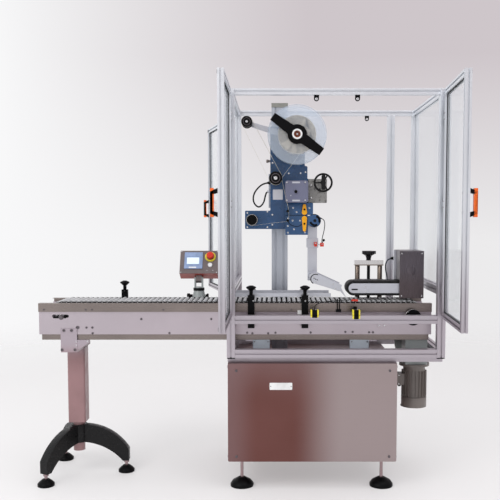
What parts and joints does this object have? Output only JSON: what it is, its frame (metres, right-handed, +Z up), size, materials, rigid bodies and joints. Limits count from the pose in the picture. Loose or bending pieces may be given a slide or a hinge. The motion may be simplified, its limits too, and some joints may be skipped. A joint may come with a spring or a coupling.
{
  "type": "bottle labelling machine",
  "caption": "Roller conveyor through a framed guard enclosure with a height-adjustable label head, a press belt and a tilting operator panel, standing on a cabinet and an outrigger leg.",
  "frame": {"origin": "on the floor, in the middle of the outline with the doors open as pictured", "axes": "+Z up, +X the way products travel along the conveyor, -Y the operator's side"},
  "size_m": [2.0352, 2.2121, 1.95],
  "materials": {
    "profile": "satin anodised",
    "clear_panel": "clear",
    "cabinet_sheet": "brushed",
    "bright_steel": "bright",
    "brushed_plate": "brushed",
    "trim": "brushed",
    "chain": "satin",
    "cable_black": "matte",
    "cable_grey": "matte",
    "black_plastic": "moulded",
    "black_iron": "painted black",
    "leg_paint": "satin",
    "motor_grey": "satin",
    "gear_grey": "satin",
    "head_blue": "satin",
    "cover_violet": "satin",
    "cast_grey": "cast",
    "reel_clear": "translucent",
    "label_paper": "wound paper",
    "black_rubber": "matte",
    "lever_yellow": "moulded",
    "arm_white": "satin",
    "handle": "moulded",
    "box_dark": "brushed",
    "panel_paint": "hammered",
    "screen": "gloss",
    "stop_red": "gloss",
    "start_white": "gloss"
  },
  "bodies": {
    "machine": {"cabinet": "cabinet_sheet", "foot_pads": "black_rubber", "foot_studs": "bright_steel", "machine_supports": "leg_paint", "frame_posts": "profile", "frame_rails": "profile", "fixed_panels": "clear_panel", "door_hardware": "black_plastic", "conveyor_plates": "brushed_plate", "conveyor_sheets": "trim", "roller_chain": "chain", "guide_rails": "chain", "guide_clamps": "black_plastic", "drive_motor": "motor_grey", "drive_gearbox": "gear_grey", "leg_column": "leg_paint", "tripod_base": "black_iron", "head_column": "profile", "press_stand": "trim", "panel_base": "gear_grey"},
    "drive_shaft": {"drive_shaft": "bright_steel"},
    "idler_shaft": {"idler_shaft": "bright_steel"},
    "door_left": {"door_left_frame": "profile", "door_left_panel": "clear_panel", "door_left_handle": "handle"},
    "door_right": {"door_right_frame": "profile", "door_right_panel": "clear_panel", "door_right_handle": "handle"},
    "rear_door": {"rear_door_frame": "profile", "rear_door_panel": "clear_panel", "rear_door_handle": "handle"},
    "label_head": {"head_carriage": "head_blue", "head_body": "head_blue", "drive_plates": "head_blue", "motor_cover": "cover_violet", "lift_gearbox": "cast_grey", "peel_column": "arm_white", "peel_arm": "arm_white", "head_cable": "cable_black"},
    "hand_wheel": {"hand_wheel": "black_plastic"},
    "reel": {"reel_discs": "reel_clear", "label_roll": "label_paper", "reel_clamp": "black_plastic"},
    "dancer_arm": {"dancer_arm": "profile"},
    "dancer_roller": {"dancer_roller": "black_rubber"},
    "web_roller": {"web_roller": "black_rubber"},
    "rewind_hub": {"rewind_hub": "black_rubber"},
    "drive_roller": {"drive_roller": "black_rubber"},
    "lever_upper": {"lever_upper": "lever_yellow"},
    "lever_lower": {"lever_lower": "lever_yellow"},
    "press_unit": {"press_belt": "black_rubber", "press_platen": "brushed_plate", "press_box": "box_dark", "press_cable": "cable_grey"},
    "press_knob": {"press_knob": "black_plastic"},
    "panel_neck": {"panel_neck": "gear_grey"},
    "panel": {"panel_housing": "panel_paint", "panel_screen": "screen"},
    "stop_button": {"stop_button": "stop_red"},
    "start_button": {"start_button": "start_white"}
  },
  "joints": [
    {"name": "drive_shaft_turn", "type": "hinge", "parent": "machine", "child": "drive_shaft", "pos_m": [0.8596, -0.322, 0.84632], "axis": [0, 1, 0], "continuous": true},
    {"name": "idler_shaft_turn", "type": "hinge", "parent": "machine", "child": "idler_shaft", "pos_m": [-0.893, -0.322, 0.84632], "axis": [0, 1, 0], "continuous": true},
    {"name": "door_left_swing", "type": "hinge", "parent": "machine", "child": "door_left", "pos_m": [-0.043, -0.59, 1.401], "axis": [0, 0, 1], "range_deg": [-60, 90]},
    {"name": "door_right_swing", "type": "hinge", "parent": "machine", "child": "door_right", "pos_m": [0.991, -0.59, 1.401], "axis": [0, 0, -1], "range_deg": [-60, 87]},
    {"name": "rear_door_swing", "type": "hinge", "parent": "machine", "child": "rear_door", "pos_m": [-0.043, 0.246, 1.401], "axis": [0, 0, -1], "range_deg": [-30, 105]},
    {"name": "head_lift", "type": "slide", "parent": "machine", "child": "label_head", "axis": [0, 0, 1], "range_m": [0, 0.08]},
    {"name": "hand_wheel_turn", "type": "hinge", "parent": "label_head", "child": "hand_wheel", "pos_m": [0.419, -0.397, 1.512], "axis": [0, 1, 0], "range_deg": [0, 1441]},
    {"name": "reel_turn", "type": "hinge", "parent": "label_head", "child": "reel", "pos_m": [0.288, -0.374, 1.75], "axis": [0, 1, 0], "continuous": true},
    {"name": "dancer_swing", "type": "hinge", "parent": "label_head", "child": "dancer_arm", "pos_m": [0.19, -0.321, 1.768], "axis": [0, 1, 0], "range_deg": [-30, 0], "stiffness_Nm_per_rad": 3, "springref_deg": 20.05},
    {"name": "dancer_roller_turn", "type": "hinge", "parent": "dancer_arm", "child": "dancer_roller", "pos_m": [0.037, -0.36, 1.815], "axis": [0, 1, 0], "continuous": true},
    {"name": "web_roller_turn", "type": "hinge", "parent": "label_head", "child": "web_roller", "pos_m": [0.181, -0.36, 1.535], "axis": [0, 1, 0], "continuous": true},
    {"name": "rewind_hub_turn", "type": "hinge", "parent": "label_head", "child": "rewind_hub", "pos_m": [0.062, -0.36, 1.326], "axis": [0, 1, 0], "continuous": true},
    {"name": "drive_roller_turn", "type": "hinge", "parent": "label_head", "child": "drive_roller", "pos_m": [0.38, -0.3, 1.322], "axis": [0, 1, 0], "continuous": true},
    {"name": "lever_upper_turn", "type": "hinge", "parent": "label_head", "child": "lever_upper", "pos_m": [0.327, -0.363, 1.364], "axis": [0, 1, 0], "range_deg": [0, 60]},
    {"name": "lever_lower_turn", "type": "hinge", "parent": "label_head", "child": "lever_lower", "pos_m": [0.327, -0.363, 1.333], "axis": [0, 1, 0], "range_deg": [0, 60]},
    {"name": "press_lift", "type": "slide", "parent": "machine", "child": "press_unit", "axis": [0, 0, 1], "range_m": [0, 0.06]},
    {"name": "press_knob_turn", "type": "hinge", "parent": "machine", "child": "press_knob", "pos_m": [0.678, -0.162, 1.13], "axis": [0, 0, 1], "range_deg": [-2701, 0]},
    {"name": "panel_swivel", "type": "hinge", "parent": "machine", "child": "panel_neck", "pos_m": [-0.231, -0.146, 0.945], "axis": [0, 0, 1], "range_deg": [-60, 60]},
    {"name": "panel_tilt", "type": "hinge", "parent": "panel_neck", "child": "panel", "pos_m": [-0.231, -0.146, 1.006], "axis": [1, 0, 0], "range_deg": [-15, 20]},
    {"name": "stop_button_press", "type": "slide", "parent": "panel", "child": "stop_button", "axis": [0, 0.866, -0.5], "range_m": [0, 0.004], "stiffness_N_per_m": 500, "springref_m": -0.002},
    {"name": "start_button_press", "type": "slide", "parent": "panel", "child": "start_button", "axis": [0, 0.866, -0.5], "range_m": [0, 0.003], "stiffness_N_per_m": 400, "springref_m": -0.001}
  ],
  "couplings": [
    {"joint": "idler_shaft_turn", "follows": "drive_shaft_turn", "ratio": 1},
    {"joint": "hand_wheel_turn", "follows": "head_lift", "rad_per_m": 314.16},
    {"joint": "press_knob_turn", "follows": "press_lift", "rad_per_m": -785.4}
  ]
}
